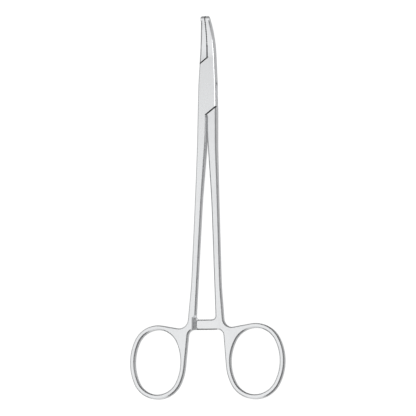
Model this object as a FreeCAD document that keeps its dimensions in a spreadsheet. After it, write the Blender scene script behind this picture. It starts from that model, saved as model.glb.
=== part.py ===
"""Ring-handled surgical needle holder with a box lock, a ratchet and curved, cross-cut jaws.

The instrument lies flat. +Y runs from the pivot to the jaw tips, +X to the right, +Z up,
and the jaws curve up. The origin is on the pivot axis, at the underside of the box lock.
All lengths are millimetres and all angles are degrees.
"""
import FreeCAD, Part
import Sketcher
import math
import os

from FreeCAD import Placement, Rotation, Vector

# Driving dimensions, each with its name and its value
SIZES = {
    # whole instrument, measured from the pivot axis
    "jaw_reach": 38.0,
    "ring_reach": 172.0,
    "box_thickness": 6.0,
    "handle_thickness": 4.2,
    "taper_start": 15.0,
    "taper_end": 75.0,
    "edge_round": 1.0,
    "rim_bevel": 0.65,
    # jaws
    "jaw_bend_radius": 35.0,
    "jaw_tip_thickness": 3.4,
    "jaw_tip_halfwidth": 2.3,
    "jaw_mid_halfwidth": 3.6,
    "jaw_mid_reach": 26.0,
    "tip_corner_radius": 1.3,
    "tip_nose_radius": 1.2,
    "tip_grind": 0.15,
    "jaw_clearance": 0.01,
    "relief_depth": 0.25,
    "relief_length": 6.7,
    "hatch_pitch": 0.9,
    "hatch_depth": 0.2,
    "hatch_width": 0.42,
    "hatch_reach": 8.0,
    # box lock
    "box_top_halfwidth": 4.45,
    "box_mid_halfwidth": 4.95,
    "box_low_halfwidth": 5.25,
    "shoulder_reach": 15.6,
    "shoulder_top_drop": 3.6,
    "shoulder_low_drop": 4.1,
    "shoulder_gap": 0.3,
    "boss_radius": 4.55,
    "tenon_thickness": 2.4,
    "slot_clearance": 0.04,
    "web_clearance": 0.06,
    "stop_angle": 46.0,
    "pin_radius": 1.5,
    "pin_running_clearance": 0.03,
    # shanks
    "shank_gap": 0.5,
    "part_reach": 26.0,
    "waist_reach": 62.7,
    "waist_inner": 2.75,
    "shank_root_reach": 34.0,
    "shank_root_outer": 5.45,
    "shank_bow_reach": 110.0,
    "shank_bow_outer": 8.3,
    "shank_flare_slope": 0.09,
    # ratchet
    "bar_top_reach": 128.5,
    "bar_height": 5.5,
    "bar_overlap": 5.4,
    "bar_end_radius": 1.5,
    "bar_root_inner": 5.72,
    "bar_root_radius": 2.0,
    "arch_radius": 3.4,
    "bar_clearance": 0.03,
    "recess_depth": 1.2,
    "recess_margin": 2.5,
    "tooth_pitch": 1.7,
    "tooth_depth": 0.6,
    "tooth_count": 3.0,
    "tooth_setback": 1.4,
    # finger rings
    "ring_rim": 2.6,
    "ring_end_ratio": 0.9,
    "thumb_ring_offset": 27.0,
    "thumb_ring_width": 26.0,
    "thumb_ring_height": 35.4,
    "finger_ring_offset": 28.0,
    "finger_ring_width": 27.6,
    "finger_ring_height": 36.2,
    "arm_slope_angle": 5.2,
    "web_slope_angle": 10.0,
    "web_fillet_radius": 4.9,
}

# Corner radii that only keep a long outline smooth
GENTLE = 200.0
BLEND = 300.0

# Where along its pitch a saw tooth is deepest, and the angle of the hatching to the jaw
TOOTH_LEAN = 0.15
HATCH_ANGLE = 45.0

doc = FreeCAD.newDocument("needle_holder")
sheet = doc.addObject("Spreadsheet::Sheet", "sizes")
for row, (name, value) in enumerate(SIZES.items(), start=1):
    sheet.set(f"A{row}", name)
    sheet.set(f"B{row}", str(value))
    sheet.setAlias(f"B{row}", name)
doc.recompute()


def size(name):
    """Read one driving dimension from the sheet."""
    return float(getattr(sheet, name))


# Plane geometry

def polar(radius, angle):
    """Point at a distance and an angle from the origin."""
    return Vector(radius * math.cos(math.radians(angle)), radius * math.sin(math.radians(angle)), 0)


def turned(point, angle):
    """A point turned about the pivot."""
    return Rotation(Vector(0, 0, 1), angle).multVec(point)


def crossing(a, b, c, d):
    """Where the line through a and b meets the line through c and d."""
    first, second = b - a, d - c
    along = ((c - a).x * second.y - (c - a).y * second.x) / (first.x * second.y - first.y * second.x)
    return a + first * along


def touch_point(point, radius, side):
    """Where the tangent from a point touches a circle about the pivot; side picks one of the two."""
    base = math.degrees(math.atan2(point.y, point.x))
    return polar(radius, base + side * math.degrees(math.acos(radius / point.Length)))


def rounded_outline(corners):
    """Closed run of lines and tangent arcs through corners, each given as (point, radius)."""
    count = len(corners)
    ends = []
    for index, (point, radius) in enumerate(corners):
        before = (corners[index - 1][0] - point).normalize()
        after = (corners[(index + 1) % count][0] - point).normalize()
        if radius == 0:
            ends.append((point, None, point))
            continue
        half = before.getAngle(after) / 2
        reach = radius / math.tan(half)
        middle = (before + after).normalize()
        centre = point + middle * (radius / math.sin(half))
        ends.append((point + before * reach, centre - middle * radius, point + after * reach))
    pieces = []
    for index, (start, top, stop) in enumerate(ends):
        if top is not None:
            pieces.append(Part.Arc(start, top, stop))
        following = ends[(index + 1) % count][0]
        if (following - stop).Length > 1e-5:
            pieces.append(Part.LineSegment(stop, following))
    return pieces


# Document helpers

def new_body(name):
    """A body whose label names its piece."""
    body = doc.addObject("PartDesign::Body", name)
    body.Label = name
    return body


def origin_item(body, role):
    """One of a body's own origin planes or axes."""
    return next(item for item in body.Origin.OriginFeatures if item.Role == role)


def new_sketch(body, name, plane, pieces, placement=None, height=None):
    """A sketch of joined lines and arcs on one of the body's origin planes."""
    sketch = body.newObject("Sketcher::SketchObject", name)
    sketch.AttachmentSupport = [(origin_item(body, plane), "")]
    sketch.MapMode = "FlatFace"
    if placement is not None:
        sketch.AttachmentOffset = placement
    if height is not None:
        sketch.setExpression("AttachmentOffset.Base.z", height)
    sketch.addGeometry(pieces, False)
    return sketch


def polygon(points):
    """Closed run of straight lines."""
    return [Part.LineSegment(a, b) for a, b in zip(points, points[1:] + points[:1])]


def volume_after(feature):
    """Volume of the solid up to a feature."""
    doc.recompute()
    return feature.Shape.Volume


def pocket(body, name, sketch, length, upward=False, midplane=False):
    """A pocket of a given depth, below its sketch unless it goes upward or both ways."""
    feature = body.newObject("PartDesign::Pocket", name)
    feature.Profile = sketch
    feature.Reversed = upward
    feature.Midplane = midplane
    feature.setExpression("Length", length)
    doc.recompute()
    return feature


def cut(body, name, sketch, length, upward=False, midplane=False):
    """A pocket that must take material away."""
    before = volume_after(body.Tip)
    feature = pocket(body, name, sketch, length, upward, midplane)
    if volume_after(feature) >= before:
        raise RuntimeError(f"{name} cuts nothing")
    return feature


# Side view of either half, shared by both

def forged_reach():
    """How far the jaws reach before their tips are ground flat."""
    return size("jaw_reach") + size("tip_grind")


def side_profile():
    """Closed outline in the YZ plane: tapered handle, flat box and upturned, thinning jaws."""
    middle = size("box_thickness") / 2
    bend = size("jaw_bend_radius")
    start = size("shoulder_reach")
    tip_half = size("jaw_tip_thickness") / 2
    nose = size("tip_nose_radius")
    arm = bend + tip_half - nose
    wanted = forged_reach() - start - nose
    tip_angle = math.asin(wanted / math.hypot(arm, nose)) + math.atan2(nose, arm)
    tip = Vector(start + bend * math.sin(tip_angle), middle + bend * (1 - math.cos(tip_angle)), 0)
    across = Vector(math.sin(tip_angle), -math.cos(tip_angle), 0)
    forward = Vector(math.cos(tip_angle), math.sin(tip_angle), 0)
    back, front = tip + across * tip_half, tip - across * tip_half

    def on_bend(level, end):
        """Middle point and radius of the arc that leaves the box face level and reaches a tip corner."""
        run, rise = end.x - start, end.y - level
        radius = (run ** 2 + rise ** 2) / (2 * rise)
        half = math.asin(run / radius) / 2
        return Vector(start + radius * math.sin(half), level + radius * (1 - math.cos(half)), 0)

    thin = (size("box_thickness") - size("handle_thickness")) / 2
    taper_from, taper_to = -size("taper_start"), -size("taper_end")
    run = (taper_from - taper_to) / 2
    sag = thin / 2
    radius = (run ** 2 + sag ** 2) / (2 * sag)
    half = math.asin(run / radius) / 2
    step = Vector(radius * math.sin(half), radius * (1 - math.cos(half)), 0)
    halfway = (taper_from + taper_to) / 2
    heel = -size("ring_reach") - 1

    def taper(face, inward):
        """Two arcs that lead from the box face to the thinner handle face."""
        return [
            Part.Arc(
                Vector(taper_to, face + inward * thin, 0),
                Vector(taper_to + step.x, face + inward * (thin - step.y), 0),
                Vector(halfway, face + inward * sag, 0),
            ),
            Part.Arc(
                Vector(halfway, face + inward * sag, 0),
                Vector(taper_from - step.x, face + inward * step.y, 0),
                Vector(taper_from, face, 0),
            ),
        ]

    top = size("box_thickness")
    nose_back = back - across * nose
    nose_front = front + across * nose
    corner = math.sqrt(0.5)
    return [
        Part.LineSegment(Vector(heel, thin, 0), Vector(taper_to, thin, 0)),
        *taper(0.0, 1.0),
        Part.LineSegment(Vector(taper_from, 0, 0), Vector(start, 0, 0)),
        Part.Arc(Vector(start, 0, 0), on_bend(0.0, back - forward * nose), back - forward * nose),
        Part.Arc(
            back - forward * nose,
            nose_back - forward * nose + (across + forward) * nose * corner,
            nose_back,
        ),
        Part.LineSegment(nose_back, nose_front),
        Part.Arc(
            nose_front,
            nose_front - forward * nose + (forward - across) * nose * corner,
            front - forward * nose,
        ),
        Part.Arc(front - forward * nose, on_bend(top, front - forward * nose), Vector(start, top, 0)),
        Part.LineSegment(Vector(start, top, 0), Vector(taper_from, top, 0)),
        *[Part.Arc(arc.EndPoint, arc.value((arc.FirstParameter + arc.LastParameter) / 2), arc.StartPoint)
          for arc in reversed(taper(top, -1.0))],
        Part.LineSegment(Vector(taper_to, top - thin, 0), Vector(heel, top - thin, 0)),
        Part.LineSegment(Vector(heel, top - thin, 0), Vector(heel, thin, 0)),
    ]


# Plan view of one half, with its shank on the +X side and its jaw on the -X side

def ring_corners(offset, width, height):
    """Corners of a finger ring's outer contour, its inner contour, and the line of its arm."""
    rim = size("ring_rim")
    centre = Vector(offset, rim + height / 2 - size("ring_reach"), 0)

    def oval(half_width, half_height, end_radius):
        """Tangent corners of a four-arc oval: angle of the joints, side radius and distances."""
        lift = half_height - end_radius
        side = (half_width ** 2 + lift ** 2 - end_radius ** 2) / (2 * (half_width - end_radius))
        joint = math.atan2(lift, side - half_width)
        distance = end_radius + lift * math.sin(joint)
        return side, joint, distance

    half_width, half_height = width / 2, height / 2
    end_radius = half_width * size("ring_end_ratio")
    side, joint, distance = oval(half_width, half_height, end_radius)
    inner = [
        (centre + Vector(distance / math.cos(joint), 0, 0), side),
        (centre + Vector(0, distance / math.sin(joint), 0), end_radius),
        (centre - Vector(distance / math.cos(joint), 0, 0), side),
        (centre - Vector(0, distance / math.sin(joint), 0), end_radius),
    ]

    side, joint, distance = side + rim, joint, distance + rim
    end_radius += rim
    far = centre + Vector(distance / math.cos(joint), 0, 0)
    low = centre - Vector(0, distance / math.sin(joint), 0)
    near_point = centre + Vector(side - half_width - rim, 0, 0)
    arm_angle = math.radians(size("arm_slope_angle"))
    arm_touch = near_point - Vector(math.cos(arm_angle), math.sin(arm_angle), 0) * side
    arm_way = Vector(-math.sin(arm_angle), math.cos(arm_angle), 0)
    near = crossing(low, centre - Vector(distance / math.cos(joint), 0, 0), arm_touch, arm_touch + arm_way)
    top_point = centre + Vector(0, half_height + rim - end_radius, 0)
    web_angle = math.radians(size("web_slope_angle"))
    web_touch = top_point + Vector(-math.sin(web_angle), math.cos(web_angle), 0) * end_radius
    web_way = Vector(-math.cos(web_angle), -math.sin(web_angle), 0)
    high = crossing(far, centre + Vector(0, distance / math.sin(joint), 0), web_touch, web_touch + web_way)
    outer = [(near, side), (low, end_radius), (far, side), (high, end_radius)]
    return outer, inner, (arm_touch, arm_way), (web_touch, web_way)


def shank_corners(offset, width, height):
    """Corners from the inner top of a shank, round its ratchet bar and ring, to its outer top."""
    ring, hole, arm, web = ring_corners(offset, width, height)
    bar_top = -size("bar_top_reach")
    bar_low = bar_top - size("bar_height")
    tip = -size("bar_overlap")
    inner = [
        (Vector(size("shank_gap") / 2, -size("part_reach"), 0), GENTLE),
        (Vector(size("waist_inner"), -size("waist_reach"), 0), BLEND),
        (Vector(size("bar_root_inner"), bar_top, 0), size("bar_root_radius")),
        (Vector(tip, bar_top, 0), size("bar_end_radius")),
        (Vector(tip, bar_low, 0), size("bar_end_radius")),
        (crossing(Vector(0, bar_low, 0), Vector(1, bar_low, 0), arm[0], arm[0] + arm[1]), size("arch_radius")),
    ]
    bow = Vector(size("shank_bow_outer"), -size("shank_bow_reach"), 0)
    flare = Vector(size("shank_flare_slope"), -1, 0)
    outer = [
        (crossing(bow, bow + flare, web[0], web[0] + web[1]), size("web_fillet_radius")),
        (bow, GENTLE),
        (Vector(size("shank_root_outer"), -size("shank_root_reach"), 0), BLEND),
    ]
    return inner + ring + outer, hole


def shoulder_line(low, shift):
    """Two points on a shoulder of the box lock, moved away from the pivot by shift."""
    drop = size("shoulder_low_drop" if low else "shoulder_top_drop")
    half = size("box_low_halfwidth" if low else "box_top_halfwidth")
    centre = Vector(0, size("shoulder_reach"), 0)
    edge = Vector(-half, size("shoulder_reach") - drop, 0)
    normal = Vector(-(centre - edge).y, (centre - edge).x, 0).normalize()
    points = [centre + normal * shift, edge + normal * shift]
    return [-point for point in points] if low else points


def tip_corners():
    """Corners of the jaw's plan view, from its root on the parting face round to its outer edge."""
    land, relief = size("jaw_clearance"), size("relief_depth")
    root = size("shoulder_reach")
    grip = root + size("relief_length")
    end = forged_reach()
    return [
        (Vector(-relief, grip, 0), 0),
        (Vector(-land, grip, 0), 0),
        (Vector(-land, end, 0), 0),
        (Vector(-size("jaw_tip_halfwidth"), end, 0), size("tip_corner_radius")),
        (Vector(-size("jaw_mid_halfwidth"), size("jaw_mid_reach"), 0), GENTLE),
    ]


def mirrored(corners):
    """The same corners for the half whose shank lies on the -X side."""
    return [(Vector(-point.x, point.y, 0), radius) for point, radius in corners]


# Edges that a polisher rounds: the rims of the top and bottom faces

def middle_of(edge):
    """The point halfway along an edge's own parameter."""
    return edge.valueAt((edge.FirstParameter + edge.LastParameter) / 2)


def rim_chains(shape, skip_x):
    """Runs of joined edges on the side profile, except on the parting faces and the shoulders.

    Each edge is given as its name and its middle.
    """
    profile = Part.Wire(Part.__sortEdges__([piece.toShape() for piece in side_profile()]))
    chains = []
    for number, edge in enumerate(shape.Edges, start=1):
        middle = middle_of(edge)
        on_skin = profile.distToShape(Part.Vertex(middle.y, middle.z, 0))[0] < 0.01
        across_nose = middle.y > forged_reach() - 3 * size("tip_nose_radius")
        on_parting = abs(middle.x) < skip_x and middle.y > size("shoulder_reach") - 1
        ends = [vertex.Point for vertex in edge.Vertexes]
        on_shoulder = len(ends) == 2 and any(
            all(abs(distance_to(point, *shoulder_line(low, side * size("shoulder_gap") / 2))) < 0.02
                for point in ends)
            for low in (False, True) for side in (-1, 1)
        )
        if not on_skin or on_parting or on_shoulder or across_nose:
            continue
        touching = [chain for chain in chains
                    if any(point.distanceToPoint(other) < 0.001 for point in ends for other in chain[1])]
        merged = [(f"Edge{number}", middle)] + [item for chain in touching for item in chain[0]]
        reached = ends + [point for chain in touching for point in chain[1]]
        chains = [chain for chain in chains if chain not in touching] + [(merged, reached)]
    return [chain[0] for chain in chains]


def reaches_handle(chain):
    """Whether a run of rim edges goes below the box lock."""
    return min(point.y for _, point in chain) < -2 * size("shoulder_reach")


def distance_to(point, a, b):
    """Signed distance of a point from the line through a and b, in plan."""
    way = (b - a).normalize()
    return way.x * (point.y - a.y) - way.y * (point.x - a.x)


def boss_corner(upper, lower, radius):
    """Where the tangents from two points to the boss circle meet, on the side the points lie to."""
    side = 1 if lower.x < 1 else -1
    high_touch = touch_point(upper, radius, side)
    low_touch = touch_point(lower, radius, -side)
    return crossing(upper, high_touch, lower, low_touch)


# Features shared by both halves

def add_forging(body, corners, hole):
    """The forged blank: the plan view, cut to the side view, with its rims rounded."""
    plan = new_sketch(body, body.Label + "_plan", "XY_Plane", rounded_outline(corners) + rounded_outline(hole))
    blank = body.newObject("PartDesign::Pad", body.Label + "_blank")
    blank.Profile = plan
    blank.setExpression("Length", "sizes.jaw_reach")
    far = size("ring_reach") + size("jaw_reach")
    frame = polygon([Vector(-far, -far, 0), Vector(far, -far, 0), Vector(far, far, 0), Vector(-far, far, 0)])
    side = new_sketch(body, body.Label + "_side", "YZ_Plane", frame + side_profile())
    return cut(body, body.Label + "_forged", side, length="sizes.ring_reach", midplane=True)


def finish_rims(body):
    """Bevels the rims of the handle and rounds those of the jaw and the box beside it."""
    doc.recompute()
    feature = body.Tip
    rims = rim_chains(feature.Shape, 2 * size("relief_depth"))
    bevel = body.newObject("PartDesign::Chamfer", body.Label + "_handle_rims")
    bevel.Base = (feature, [name for chain in rims if reaches_handle(chain) for name, _ in chain])
    bevel.setExpression("Size", "sizes.rim_bevel")
    doc.recompute()
    middles = [point for chain in rims if not reaches_handle(chain) for _, point in chain]
    names = [
        f"Edge{number}" for number, edge in enumerate(bevel.Shape.Edges, start=1)
        if any(middle_of(edge).distanceToPoint(point) < 0.01 for point in middles)
    ]
    rounding = body.newObject("PartDesign::Fillet", body.Label + "_jaw_rims")
    rounding.Base = (bevel, names)
    rounding.setExpression("Radius", "sizes.edge_round")
    doc.recompute()
    return rounding


def grind_tip(body):
    """Grinds the tip of the jaw flat, to its finished length."""
    side, reach = size("box_thickness"), size("jaw_reach")
    beyond = polygon([
        Vector(-side, reach, 0),
        Vector(side, reach, 0),
        Vector(side, reach + side, 0),
        Vector(-side, reach + side, 0),
    ])
    sketch = new_sketch(body, body.Label + "_tip_plan", "XY_Plane", beyond)
    return cut(body, body.Label + "_tip", sketch, length="sizes.jaw_reach", upward=True)


def bore(body, name, radius):
    """A round hole through the box lock on the pivot axis."""
    sketch = new_sketch(body, name + "_circle", "XY_Plane", [])
    sketch.addGeometry(Part.Circle(Vector(0, 0, 0), Vector(0, 0, 1), size("pin_radius")), False)
    sketch.addConstraint(Sketcher.Constraint("Coincident", 0, 3, -1, 1))
    sketch.addConstraint(Sketcher.Constraint("Radius", 0, size("pin_radius")))
    sketch.setExpression("Constraints[1]", radius)
    return cut(body, name, sketch, length="2 * sizes.box_thickness", midplane=True)


def cut_ratchet(body, way):
    """Clears the other half's bar and cuts the saw teeth; way is +1 where the bar lies on top."""
    middle = size("box_thickness") / 2
    face = middle + way * size("bar_clearance")
    top = size("recess_margin") - size("bar_top_reach")
    low = -size("bar_top_reach") - size("bar_height") - size("recess_margin")
    wall = way * (size("bar_root_inner") + size("recess_depth"))
    open_side = -2 * wall
    room = rounded_outline([
        (Vector(open_side, top, 0), 0),
        (Vector(wall, top, 0), size("edge_round")),
        (Vector(wall, low, 0), size("edge_round")),
        (Vector(open_side, low, 0), 0),
    ])
    sign = "+" if way > 0 else "-"
    sketch = new_sketch(body, body.Label + "_bar_room", "XY_Plane", room,
                        height=f"sizes.box_thickness / 2 {sign} sizes.bar_clearance")
    cut(body, body.Label + "_bar_seat", sketch, length="sizes.box_thickness", upward=way < 0)

    pitch = size("tooth_pitch")
    start = -way * (size("bar_overlap") - size("tooth_setback"))
    tooth = polygon([
        Vector(start, face, 0),
        Vector(start + way * pitch, face, 0),
        Vector(start + way * pitch * TOOTH_LEAN, face + way * size("tooth_depth"), 0),
    ])
    centre = size("bar_top_reach") + size("bar_height") / 2
    sketch = new_sketch(body, body.Label + "_tooth", "XZ_Plane", tooth,
                        placement=Placement(Vector(0, 0, centre), Rotation()))
    first = cut(body, body.Label + "_first_tooth", sketch, length="sizes.bar_height + 2 * sizes.recess_margin",
                midplane=True)
    repeat(body, body.Label + "_teeth", first, (origin_item(body, "X_Axis"), [""]), way < 0,
           "sizes.tooth_pitch", int(size("tooth_count")))


def repeat(body, name, feature, direction, reverse, pitch, count):
    """Equally spaced copies of a feature."""
    pattern = body.newObject("PartDesign::LinearPattern", name)
    pattern.Originals = [feature]
    pattern.Direction = direction
    pattern.Reversed = reverse
    pattern.Occurrences = count
    pattern.setExpression("Length", f"{count - 1} * {pitch}")
    body.Tip = pattern
    doc.recompute()
    return pattern


def cut_hatching(body, way):
    """Two crossing families of V grooves on the gripping face of a jaw; way is +1 for a jaw at +X."""
    bend = size("jaw_bend_radius")
    root = size("shoulder_reach")
    reach = (root + size("relief_length") + size("jaw_reach")) / 2
    lean = math.asin((reach - root) / bend)
    height = size("box_thickness") / 2 + bend * (1 - math.cos(lean))
    span = (size("jaw_reach") - root - size("relief_length")) / math.cos(lean) + size("box_thickness")
    count = 2 * int(span * math.sqrt(0.5) / 2 / size("hatch_pitch")) + 1
    first_place = -(count - 1) / 2 * size("hatch_pitch")
    land, depth, half = size("jaw_clearance"), size("hatch_depth"), size("hatch_width") / 2
    groove = polygon([
        Vector(-way * land, first_place - half * (1 + 2 * land / depth), 0),
        Vector(-way * land, first_place + half * (1 + 2 * land / depth), 0),
        Vector(way * (land + depth), first_place, 0),
    ])
    for side in ("up", "down"):
        across = math.degrees(lean) + (HATCH_ANGLE if side == "up" else -HATCH_ANGLE)
        place = Placement(Vector(0, height, -reach), Rotation(Vector(1, 0, 0), across - 90))
        label = f"{body.Label}_hatch_{side}"
        sketch = new_sketch(body, label + "_groove", "XZ_Plane", groove, placement=place)
        first = pocket(body, label + "_first", sketch, "2 * sizes.hatch_reach", midplane=True)
        repeat(body, label, first, (sketch, ["V_Axis"]), False, "sizes.hatch_pitch", count)


# Pieces

def make_tenon_half():
    """Left jaw, thin tenon through the box, right shank with the upper ratchet bar, finger ring."""
    body = new_body("tenon_half")
    relief = size("relief_depth")
    root = Vector(-relief, size("shoulder_reach"), 0)
    top_edge = shoulder_line(False, 0)[1]
    low_edge = shoulder_line(True, 0)[1]
    crotch = Vector(size("shank_gap") / 2, -size("shoulder_reach"), 0)
    boss = size("boss_radius")
    shank, hole = shank_corners(size("finger_ring_offset"), size("finger_ring_width"), size("finger_ring_height"))
    corners = tip_corners() + [
        (top_edge, 0),
        (boss_corner(top_edge, crotch, boss), boss),
        (crotch, 0),
    ] + shank + [
        (low_edge, 0),
        (boss_corner(root, low_edge, boss), boss),
        (root, 0),
    ]
    add_forging(body, corners, hole)

    gap = size("shoulder_gap") / 2
    top_centre, top_end = shoulder_line(False, gap)
    low_centre, low_end = shoulder_line(True, gap)
    far = 2 * size("box_low_halfwidth")
    cheek_room = polygon([
        top_end * 2 - (top_centre + top_end) * 0.5,
        top_centre * 1.5 - top_end * 0.5,
        Vector(far, top_centre.y, 0),
        low_end * 2 - (low_centre + low_end) * 0.5,
        low_centre * 1.5 - low_end * 0.5,
        Vector(-far, low_centre.y, 0),
    ])
    for name, sign, upward in (("upper", "+", True), ("lower", "-", False)):
        sketch = new_sketch(body, f"{name}_cheek_room", "XY_Plane", cheek_room,
                            height=f"(sizes.box_thickness {sign} sizes.tenon_thickness) / 2")
        cut(body, f"{name}_cheek_cut", sketch, length="sizes.box_thickness", upward=upward)
    finish_rims(body)
    grind_tip(body)
    bore(body, "tenon_bore", "sizes.pin_radius + sizes.pin_running_clearance")
    cut_ratchet(body, 1)
    cut_hatching(body, -1)
    return body


def make_box_half():
    """Right jaw, box with two cheeks and a slot, left shank with the lower ratchet bar, thumb ring."""
    body = new_body("box_half")
    gap = size("shoulder_gap") / 2
    low_centre, low_edge = shoulder_line(True, -gap)
    top_centre, top_edge = shoulder_line(False, -gap)
    inner = Vector(-size("shank_gap") / 2, 0, 0)
    parting = Vector(size("relief_depth"), 0, 0)
    up = Vector(0, 1, 0)
    shank, hole = shank_corners(size("thumb_ring_offset"), size("thumb_ring_width"), size("thumb_ring_height"))
    corners = mirrored(tip_corners()) + [
        (Vector(size("box_mid_halfwidth"), 0, 0), GENTLE),
        (low_edge, 0),
        (crossing(low_edge, low_centre, inner, inner + up), 0),
    ] + mirrored(shank) + [
        (Vector(-size("box_mid_halfwidth"), 0, 0), GENTLE),
        (top_edge, 0),
        (crossing(top_edge, top_centre, parting, parting + up), 0),
    ]
    add_forging(body, corners, mirrored(hole))
    finish_rims(body)
    grind_tip(body)

    clear = size("boss_radius") + size("web_clearance")
    root = Vector(size("web_clearance") - size("relief_depth"), size("shoulder_reach"), 0)
    opened = turned(shoulder_line(True, 0)[1], size("stop_angle"))
    mouth = root + (root - touch_point(root, clear, -1)).normalize()
    web = crossing(root, touch_point(root, clear, -1), opened, touch_point(opened, clear, 1))
    corner = Vector(opened.x, -mouth.y, 0)
    half = [mouth, web, opened, corner]
    slot = new_sketch(body, "slot_plan", "XY_Plane", polygon(half + [-point for point in half]),
                      height="(sizes.box_thickness - sizes.tenon_thickness) / 2 - sizes.slot_clearance")
    cut(body, "slot", slot, length="sizes.tenon_thickness + 2 * sizes.slot_clearance", upward=True)
    bore(body, "cheek_bore", "sizes.pin_radius")
    cut_ratchet(body, -1)
    cut_hatching(body, 1)
    return body


def make_pivot_pin():
    """Plain rivet pin, ground flush with both cheeks."""
    body = new_body("pivot_pin")
    sketch = new_sketch(body, "pin_circle", "XY_Plane", [])
    sketch.addGeometry(Part.Circle(Vector(0, 0, 0), Vector(0, 0, 1), size("pin_radius")), False)
    sketch.addConstraint(Sketcher.Constraint("Coincident", 0, 3, -1, 1))
    sketch.addConstraint(Sketcher.Constraint("Radius", 0, size("pin_radius")))
    sketch.setExpression("Constraints[1]", "sizes.pin_radius")
    pad = body.newObject("PartDesign::Pad", "pin_shank")
    pad.Profile = sketch
    pad.setExpression("Length", "sizes.box_thickness")
    doc.recompute()
    return body


def main():
    """Builds the pieces, checks them and writes one file for each."""
    pieces = [make_box_half(), make_tenon_half(), make_pivot_pin()]
    doc.recompute()
    for item in doc.Objects:
        if {"Invalid", "Error"} & set(item.State):
            raise RuntimeError(f"{item.Label} failed: {item.State}")
    os.makedirs("parts", exist_ok=True)
    for piece in pieces:
        shape = piece.Shape
        if shape.isNull() or not shape.isValid() or len(shape.Solids) != 1:
            raise RuntimeError(f"{piece.Label} is not one valid solid")
        shape.exportStep(f"parts/{piece.Label}.step")
        box = shape.BoundBox
        print(f"{piece.Label}: {shape.Volume:.1f} mm3, {len(shape.Faces)} faces,"
              f" X {box.XMin:.2f} to {box.XMax:.2f}, Y {box.YMin:.2f} to {box.YMax:.2f},"
              f" Z {box.ZMin:.2f} to {box.ZMax:.2f}")


main()
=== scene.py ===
# %% [markdown]
# # A needle holder in satin steel, on a white table
#
# This file dresses a imported CAD model of a surgical needle holder. The CAD solids carry the whole
# shape: two forgings that cross in a box lock, and the pin that joins them. What a photograph shows
# on top of that is added here: the fine grain of satin stainless steel, the shade in its seams, which
# is painted into the steel's colour as a dark band, and plain studio light. Run the cells from top to
# bottom.

# %% Load the frame
import math

import bpy
from mathutils import Matrix, Vector

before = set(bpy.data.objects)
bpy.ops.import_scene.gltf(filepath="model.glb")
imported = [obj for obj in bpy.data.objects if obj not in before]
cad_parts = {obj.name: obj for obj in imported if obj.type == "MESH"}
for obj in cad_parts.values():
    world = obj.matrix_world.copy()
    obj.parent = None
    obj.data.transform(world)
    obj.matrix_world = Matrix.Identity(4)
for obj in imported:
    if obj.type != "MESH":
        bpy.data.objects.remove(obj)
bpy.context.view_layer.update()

MM = 0.001
scene = bpy.context.scene
scene.view_settings.view_transform = "Standard"

# %% [markdown]
# ## The three pieces of steel
#
# The real instrument is two forgings and a rivet pin, and the CAD model has one node for each. A
# merged copy of a forging could be given softer rims here, but the solids have their rounds and
# bevels already, and its shading would drift at the sharp shoulders of the box lock. So the CAD
# nodes show as they are, and only get better steel.

# %% Take the three nodes
box_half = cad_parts["box_half"]
tenon_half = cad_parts["tenon_half"]
pivot_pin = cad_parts["pivot_pin"]
for piece in (box_half, tenon_half, pivot_pin):
    print(piece.name, "has", len(piece.data.polygons), "triangles")

# %% [markdown]
# ## Helpers for node groups
#
# The grain and the seams below are shader node groups: each is built once, and its inputs are set
# again wherever it is used. They could be wired by hand in every material, but the same arithmetic
# would then be repeated many times. Three small helpers keep the wiring short: one for a number that
# goes in, one for a number that comes out, and one for a math node.

# %% Sockets and arithmetic
def input_socket(group, name, value):
    """Adds a number input with its usual value to a node group."""
    socket = group.interface.new_socket(name, in_out="INPUT", socket_type="NodeSocketFloat")
    socket.default_value = value


def output_socket(group, name):
    """Adds a number output to a node group."""
    group.interface.new_socket(name, in_out="OUTPUT", socket_type="NodeSocketFloat")


def arithmetic(tree, operation, first, second):
    """One math node; each operand is a socket or a number."""
    node = tree.nodes.new("ShaderNodeMath")
    node.operation = operation
    for socket, operand in zip(node.inputs, (first, second)):
        if isinstance(operand, (int, float)):
            socket.default_value = operand
        else:
            tree.links.new(operand, socket)
    return node.outputs["Value"]


print("helpers: input_socket, output_socket, arithmetic")

# %% [markdown]
# ## The grain of satin steel
#
# Satin instruments are brushed on fine belts and then blasted with glass beads, so that they do not
# glare under theatre lamps. Two marks stay: very fine lines along the length, and a faint mottle
# where the beads bit unevenly. A picture of brushed metal would stretch on the curved jaws, so both
# are made of noise on Object coordinates, which has no seams: one drawn out along the length, and
# the others nearly round. They change how rough the steel is and tilt its surface by a hair.

# %% Noise along the instrument
NOISE_MIDDLE = 0.5


def stretched_noise(tree, place, scale, stretch, detail):
    """Noise on object coordinates, drawn out along Y by a factor."""
    mapping = tree.nodes.new("ShaderNodeMapping")
    mapping.inputs["Scale"].default_value = (1, 1 / stretch, 1)
    noise = tree.nodes.new("ShaderNodeTexNoise")
    noise.inputs["Scale"].default_value = scale
    noise.inputs["Detail"].default_value = detail
    tree.links.new(place, mapping.inputs["Vector"])
    tree.links.new(mapping.outputs["Vector"], noise.inputs["Vector"])
    return noise.outputs["Fac"]


def swing(tree, noise, strength):
    """Noise that swings about zero, times a strength."""
    centred = arithmetic(tree, "SUBTRACT", noise, NOISE_MIDDLE)
    return arithmetic(tree, "MULTIPLY", centred, strength)


print("noise swings about", NOISE_MIDDLE)

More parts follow.
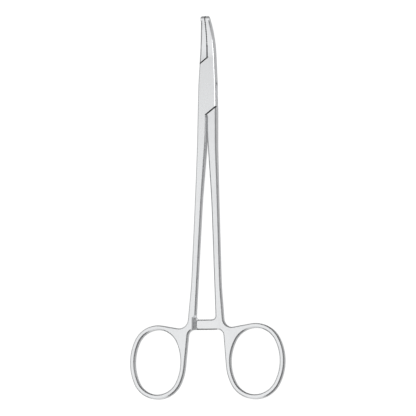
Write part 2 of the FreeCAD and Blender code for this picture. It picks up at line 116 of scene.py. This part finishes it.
# %% Build the grain group
def make_grain_group():
    """Brushed lines and bead mottle: a roughness, a tint and a height that vary over the steel."""
    tree = bpy.data.node_groups.new("satin_grain", "ShaderNodeTree")
    input_socket(tree, "Roughness", 0.3)
    input_socket(tree, "Line strength", 0.06)
    input_socket(tree, "Mottle strength", 0.05)
    output_socket(tree, "Roughness")
    output_socket(tree, "Tint")
    output_socket(tree, "Height")
    start = tree.nodes.new("NodeGroupInput")
    end = tree.nodes.new("NodeGroupOutput")
    place = tree.nodes.new("ShaderNodeTexCoord").outputs["Object"]
    lines = stretched_noise(tree, place, scale=9000, stretch=14, detail=2)
    mottle = stretched_noise(tree, place, scale=1500, stretch=1.6, detail=3)
    clouds = stretched_noise(tree, place, scale=110, stretch=2.5, detail=2)
    line_part = swing(tree, lines, start.outputs["Line strength"])
    mottle_part = swing(tree, mottle, start.outputs["Mottle strength"])
    cloud_part = swing(tree, clouds, start.outputs["Mottle strength"])
    relief = arithmetic(tree, "ADD", line_part, mottle_part)
    change = arithmetic(tree, "ADD", relief, cloud_part)
    rough = arithmetic(tree, "ADD", start.outputs["Roughness"], change)
    tint = arithmetic(tree, "SUBTRACT", 1.0, arithmetic(tree, "ABSOLUTE", change, 0))
    tree.links.new(rough, end.inputs["Roughness"])
    tree.links.new(tint, end.inputs["Tint"])
    tree.links.new(relief, end.inputs["Height"])
    return tree


grain_group = make_grain_group()
print("grain group sockets:", [item.name for item in grain_group.interface.items_tree])

# %% [markdown]
# ## Painted shade in the seams
#
# Where two ground faces meet, the narrow gaps and recesses lie in shade, and that shade is painted
# into the steel's colour as a dark band: at the shoulders of the box lock, between the jaws and round
# the ratchet bars. Between the jaws the painted shade thins out at each groove, so the line looks
# dotted. It could be a thin strip of mesh, but a strip would float or clip when the jaws open. A mask
# in the steel moves with it. All these seams are straight in plan, so one group works out the
# distance to a line, and keeps the mask inside a box and to faces that look up.

# %% Build the group for the painted seam shade
FACES_UP = 0.3
HATCH_PITCH = 0.9 * MM
SEAM_INPUTS = (
    "Normal X", "Normal Y", "Offset", "Half width", "Pinch",
    "From X", "To X", "From Y", "To Y", "Strength",
)


# The mask marks where shade is painted into the steel's colour along gaps and recesses.
def make_seam_shade_group():
    """A mask within a given distance of a line in plan, inside a box in plan."""
    tree = bpy.data.node_groups.new("painted_seam_shade", "ShaderNodeTree")
    for name in SEAM_INPUTS:
        input_socket(tree, name, 0)
    output_socket(tree, "Mask")
    start = tree.nodes.new("NodeGroupInput")
    end = tree.nodes.new("NodeGroupOutput")
    place = tree.nodes.new("ShaderNodeTexCoord")
    split = tree.nodes.new("ShaderNodeSeparateXYZ")
    facing = tree.nodes.new("ShaderNodeSeparateXYZ")
    tree.links.new(place.outputs["Object"], split.inputs[0])
    tree.links.new(place.outputs["Normal"], facing.inputs[0])
    x_part = arithmetic(tree, "MULTIPLY", split.outputs["X"], start.outputs["Normal X"])
    y_part = arithmetic(tree, "MULTIPLY", split.outputs["Y"], start.outputs["Normal Y"])
    along_normal = arithmetic(tree, "ADD", x_part, y_part)
    across = arithmetic(tree, "SUBTRACT", along_normal, start.outputs["Offset"])
    distance = arithmetic(tree, "ABSOLUTE", across, 0)
    wave = arithmetic(tree, "PINGPONG", split.outputs["Y"], HATCH_PITCH / 2)
    pinch = arithmetic(tree, "MULTIPLY", wave, start.outputs["Pinch"])
    reach = arithmetic(tree, "SUBTRACT", start.outputs["Half width"], pinch)
    near = arithmetic(tree, "LESS_THAN", distance, reach)
    upward = arithmetic(tree, "GREATER_THAN", facing.outputs["Z"], FACES_UP)
    mask = arithmetic(tree, "MULTIPLY", near, upward)
    for axis in ("X", "Y"):
        after = arithmetic(tree, "GREATER_THAN", split.outputs[axis], start.outputs["From " + axis])
        before = arithmetic(tree, "LESS_THAN", split.outputs[axis], start.outputs["To " + axis])
        mask = arithmetic(tree, "MULTIPLY", mask, arithmetic(tree, "MULTIPLY", after, before))
    mask = arithmetic(tree, "MULTIPLY", mask, start.outputs["Strength"])
    tree.links.new(mask, end.inputs["Mask"])
    return tree


seam_shade_group = make_seam_shade_group()
print("seam group inputs:", len(seam_shade_group.interface.items_tree) - 1)

# %% Places of the seams, from the CAD sizes
SHOULDER_REACH = 15.6 * MM
UPPER_SHOULDER_RUN = (-4.45 * MM, -3.6 * MM)
LOWER_SHOULDER_RUN = (5.25 * MM, 4.1 * MM)
SHOULDER_LOW = 11 * MM
TEETH_START = 22.3 * MM
JAW_END = 39 * MM
RECESS_MIDDLE = -6.6 * MM
RECESS_SPAN = (-136.5 * MM, -127.2 * MM)
BAR_EDGE = -134 * MM
BAR_SPAN = (-5.4 * MM, 6.6 * MM)
PLAN_MIDDLE = (0, 0)
LENGTHWISE = (0, 1)
CROSSWISE = (1, 0)
EVERYWHERE = (-1.0, 1.0)
print("shoulders at", SHOULDER_REACH, "m and ratchet bar at", BAR_EDGE, "m")

# %% List the seams that get painted shade
def seam_line(start, run, half_width, y_span, x_span=EVERYWHERE, strength=1.0, pinch=0.0):
    """Values for the seam group: the line from a point along a run, kept inside a box in plan."""
    normal = Vector((-run[1], run[0])).normalized()
    return {
        "Normal X": normal.x,
        "Normal Y": normal.y,
        "Offset": normal.dot(Vector(start)),
        "Half width": half_width,
        "Pinch": pinch,
        "From X": x_span[0],
        "To X": x_span[1],
        "From Y": y_span[0],
        "To Y": y_span[1],
        "Strength": strength,
    }


# Each seam is a band of shade painted into the steel's colour, in a gap or recess.
SEAMS = {
    "upper shoulder": seam_line(
        (0, SHOULDER_REACH), UPPER_SHOULDER_RUN, 0.36 * MM, (11.5 * MM, SHOULDER_REACH + 0.3 * MM)),
    "lower shoulder": seam_line(
        (0, -SHOULDER_REACH), LOWER_SHOULDER_RUN, 0.42 * MM,
        (-SHOULDER_REACH - 0.4 * MM, -SHOULDER_LOW)),
    "between the teeth": seam_line(
        PLAN_MIDDLE, LENGTHWISE, 0.42 * MM, (TEETH_START, JAW_END), pinch=0.7),
    "relief behind the teeth": seam_line(
        PLAN_MIDDLE, LENGTHWISE, 0.38 * MM, (SHOULDER_REACH - 0.5 * MM, TEETH_START)),
    "ratchet recess": seam_line(
        (RECESS_MIDDLE, 0), LENGTHWISE, 1.08 * MM, RECESS_SPAN, strength=0.6),
    "ratchet bar edge": seam_line(
        (0, BAR_EDGE), CROSSWISE, 0.42 * MM, (-135 * MM, -133 * MM), BAR_SPAN, strength=0.9),
}
print("seams:", ", ".join(SEAMS))

# %% [markdown]
# ## Satin steel, with and without painted seam shade
#
# The forgings are hardened stainless steel with a pale, soft sheen, and the pin is the same steel,
# ground a little finer. A grey paint with a gloss would never show the room, so the shader is a pure
# metal: its colour is what it mirrors, and its roughness blurs that. The grain group varies both, a
# weak bump catches the light, and each seam mixes the colour towards a dark, painted shade.

# %% Mix the painted seam shade into a colour
STEEL = (0.78, 0.79, 0.80, 1)
PIN_STEEL = (0.77, 0.78, 0.79, 1)
# The colour of the shade painted into the seams and recesses.
PAINTED_SHADE_COLOUR = (0.03, 0.03, 0.032, 1)


def add_painted_shade(tree, colour, values):
    """Darkens a colour with painted shade where one seam's mask is set."""
    seam = tree.nodes.new("ShaderNodeGroup")
    seam.node_tree = seam_shade_group
    for key, value in values.items():
        seam.inputs[key].default_value = value
    painted_shade = tree.nodes.new("ShaderNodeMix")
    painted_shade.data_type = "RGBA"
    painted_shade.inputs["B"].default_value = PAINTED_SHADE_COLOUR
    tree.links.new(seam.outputs["Mask"], painted_shade.inputs["Factor"])
    tree.links.new(colour, painted_shade.inputs["A"])
    return painted_shade.outputs["Result"]


print("film colour:", PAINTED_SHADE_COLOUR[:3])

# %% Make the steels
BUMP_STRENGTH = 0.25
BUMP_DEPTH = 0.02 * MM


def make_steel(name, colour, roughness, lines, mottle, seams=()):
    """Satin stainless steel whose grain comes from the shared group, with painted shade in its seams.
    """
    material = bpy.data.materials.new(name)
    material.use_nodes = True
    tree = material.node_tree
    shader = tree.nodes["Principled BSDF"]
    shader.inputs["Metallic"].default_value = 1.0
    grain = tree.nodes.new("ShaderNodeGroup")
    grain.node_tree = grain_group
    grain.inputs["Roughness"].default_value = roughness
    grain.inputs["Line strength"].default_value = lines
    grain.inputs["Mottle strength"].default_value = mottle
    shade = tree.nodes.new("ShaderNodeMix")
    shade.data_type = "RGBA"
    shade.blend_type = "MULTIPLY"
    shade.inputs["Factor"].default_value = 1.0
    shade.inputs["A"].default_value = colour
    tree.links.new(grain.outputs["Tint"], shade.inputs["B"])
    colour_out = shade.outputs["Result"]
    # Each seam paints shade into the colour.
    for values in seams:
        colour_out = add_painted_shade(tree, colour_out, values)
    bump = tree.nodes.new("ShaderNodeBump")
    bump.inputs["Strength"].default_value = BUMP_STRENGTH
    bump.inputs["Distance"].default_value = BUMP_DEPTH
    tree.links.new(grain.outputs["Height"], bump.inputs["Height"])
    tree.links.new(colour_out, shader.inputs["Base Color"])
    tree.links.new(grain.outputs["Roughness"], shader.inputs["Roughness"])
    tree.links.new(bump.outputs["Normal"], shader.inputs["Normal"])
    return material


satin = make_steel(
    "satin_steel", STEEL, roughness=0.30, lines=0.10, mottle=0.12, seams=SEAMS.values())
pin_satin = make_steel("pin_steel", PIN_STEEL, roughness=0.28, lines=0.08, mottle=0.08)
print("materials:", satin.name, "and", pin_satin.name)

# %% Dress the three nodes
for piece, material in ((box_half, satin), (tenon_half, satin), (pivot_pin, pin_satin)):
    for slot in piece.material_slots:
        slot.material = material
    print(piece.name, "wears", material.name)

# %% [markdown]
# ## A white table that still shows a shadow
#
# The instrument lies on a white sheet that runs out of the picture. If the sheet were only lit, it
# would need so much light that the steel on it burned out. So it is a middling grey, and glows on
# top of that: fully for the camera, where it reaches white, and weakly for what the steel mirrors.
# The soft shadow beside the instrument stays. The sheet lies a hair below the box lock, because two
# faces in one plane would fight over which is seen from below.

# %% Lay the sheet
SHEET_SIZE = 6.0
CONTACT_GAP = 0.05 * MM

bpy.ops.object.select_all(action="DESELECT")
bpy.ops.mesh.primitive_plane_add(size=SHEET_SIZE, location=(0, 0, -CONTACT_GAP))
table = bpy.context.object
table.name = "white_sheet"
print("sheet of", SHEET_SIZE, "m")

# %% Make it glow
SHEET_COLOUR = (0.4, 0.4, 0.4, 1)
GLOW_SEEN = 0.82
GLOW_MIRRORED = 0.3

sheet_material = bpy.data.materials.new("white_sheet")
sheet_material.use_nodes = True
tree = sheet_material.node_tree
tree.nodes.clear()
lit = tree.nodes.new("ShaderNodeBsdfDiffuse")
lit.inputs["Color"].default_value = SHEET_COLOUR
glow = tree.nodes.new("ShaderNodeEmission")
path = tree.nodes.new("ShaderNodeLightPath")
seen = arithmetic(tree, "MULTIPLY", path.outputs["Is Camera Ray"], GLOW_SEEN)
mirrored = arithmetic(
    tree, "MAXIMUM", path.outputs["Is Glossy Ray"], path.outputs["Is Transmission Ray"])
mirrored = arithmetic(tree, "MULTIPLY", mirrored, GLOW_MIRRORED)
tree.links.new(arithmetic(tree, "ADD", seen, mirrored), glow.inputs["Strength"])
both = tree.nodes.new("ShaderNodeAddShader")
out = tree.nodes.new("ShaderNodeOutputMaterial")
tree.links.new(lit.outputs["BSDF"], both.inputs[0])
tree.links.new(glow.outputs["Emission"], both.inputs[1])
tree.links.new(both.outputs["Shader"], out.inputs["Surface"])
table.data.materials.append(sheet_material)
print("sheet glows", GLOW_SEEN, "for the camera and", GLOW_MIRRORED, "in mirrors")

# %% [markdown]
# ## The room
#
# Steel shows the room more than it shows itself. In a studio the ceiling is bright, and the walls
# get darker towards the floor, and that draws the grey bands along the rims that face right. A
# picture of a studio could light the scene, but a plain fade from wall to ceiling is enough.

# %% Fade the room from wall to ceiling
WALL_TOP = 0.15
CEILING_START = 0.8
WALL_LIGHT = 0.02
CEILING_LIGHT = 0.6

world = bpy.data.worlds.new("studio")
scene.world = world
world.use_nodes = True
air = world.node_tree
direction = air.nodes.new("ShaderNodeTexCoord").outputs["Generated"]
height = air.nodes.new("ShaderNodeSeparateXYZ")
air.links.new(direction, height.inputs[0])
fade = air.nodes.new("ShaderNodeMapRange")
fade.inputs["From Min"].default_value = WALL_TOP
fade.inputs["From Max"].default_value = CEILING_START
fade.inputs["To Min"].default_value = WALL_LIGHT
fade.inputs["To Max"].default_value = CEILING_LIGHT
air.links.new(height.outputs["Z"], fade.inputs["Value"])
air.nodes["Background"].inputs["Color"].default_value = (1, 1, 1, 1)
air.links.new(fade.outputs["Result"], air.nodes["Background"].inputs["Strength"])
print("room light from", WALL_LIGHT, "to", CEILING_LIGHT)

# %% [markdown]
# ## Three soft lamps
#
# A large lamp hangs low above the shanks, and ends above the box lock, so the box is a little darker
# than the shanks and rings. A wide lamp in front reaches the tips, which curve up and so mirror it. A
# lamp at the upper right draws the white line along the round of the box. Spot lamps would give hard
# glints, so all three are square area lamps, and each is set by place, aim, width and power.

# %% Hang the lamps
LAMPS = (
    ("overhead", (-0.2, -0.34, 0.75), (-0.2, -0.339, 0), 1.0, 1.5),
    ("front", (-0.3, -1.7, 0.55), (0, -0.06, 0), 1.4, 5.5),
    ("side", (0.8, 0.1, 0.8), (0, -0.06, 0), 0.6, 3.0),
)


def soft_lamp(name, place, aim, width, power):
    """A square area lamp that faces a point."""
    data = bpy.data.lights.new(name, "AREA")
    data.shape = "SQUARE"
    data.size = width
    data.energy = power
    lamp = bpy.data.objects.new(name, data)
    scene.collection.objects.link(lamp)
    lamp.location = place
    lamp.rotation_euler = (Vector(aim) - Vector(place)).to_track_quat("-Z", "Y").to_euler()


for name, place, aim, width, power in LAMPS:
    soft_lamp(name, place, aim, width, power)
    print(name, "lamp gives", power, "W")

# %% [markdown]
# ## The camera of the photograph
#
# The photograph is taken from almost straight above and from far away: the rings look no larger than
# they are. A little of every wall that faces right shows, so the camera stands some degrees to the
# right, and a few degrees towards the rings. It could be placed by eye, but here it is built from
# these angles and the width that the picture spans at the instrument, and each can be set by itself.

# %% Place the camera
LEAN_RIGHT = math.radians(14.76)
LEAN_BACK = math.radians(5.68)
ROLL = math.radians(0.48)
DISTANCE = 2000 * MM
PICTURE_WIDTH = 227.85 * MM
AIM = Vector((0.47 * MM, -67.2 * MM, 3 * MM))
SENSOR = 36.0

lens = bpy.data.cameras.new("photo_camera")
lens.sensor_width = SENSOR
lens.lens = SENSOR * DISTANCE / PICTURE_WIDTH
camera = bpy.data.objects.new("photo_camera", lens)
scene.collection.objects.link(camera)
back = Vector((math.sin(LEAN_RIGHT), -math.sin(LEAN_BACK), 0))
back.z = math.sqrt(1 - back.length_squared)
right = Vector((0, 1, 0)).cross(back).normalized()
up = back.cross(right)
turn = Matrix((right, up, back)).transposed().to_4x4()
stand = Matrix.Translation(AIM + back * DISTANCE)
camera.matrix_world = stand @ turn @ Matrix.Rotation(ROLL, 4, "Z")
scene.camera = camera
print("lens of", round(lens.lens, 1), "mm")
